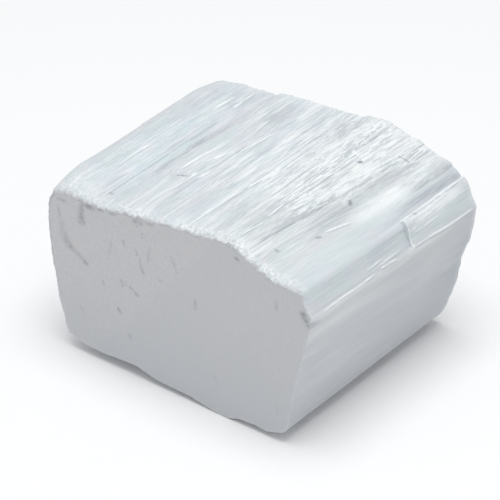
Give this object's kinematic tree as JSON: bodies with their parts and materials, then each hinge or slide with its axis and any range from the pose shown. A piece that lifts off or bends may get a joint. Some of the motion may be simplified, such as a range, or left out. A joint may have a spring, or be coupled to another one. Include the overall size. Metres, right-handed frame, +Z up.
{
  "type": "selenite crystal block",
  "caption": "Short sawn block of milky fibrous selenite (satin spar): flat sawn ends, silky striated top with a raised flake, tapering sides and a flat base.",
  "frame": {"origin": "centre of the block's box, on the plane of its flat base", "axes": "+X across the sawn face, its longest extent; +Y along the fibres, away from the clean sawn face; +Z up"},
  "size_m": [0.0518, 0.0412, 0.0327],
  "materials": {
    "satin_spar": "milky white, silky fibrous sheen, saw-cut ends matte"
  },
  "bodies": {
    "root": {"selenite_block": "satin_spar"}
  },
  "joints": []
}
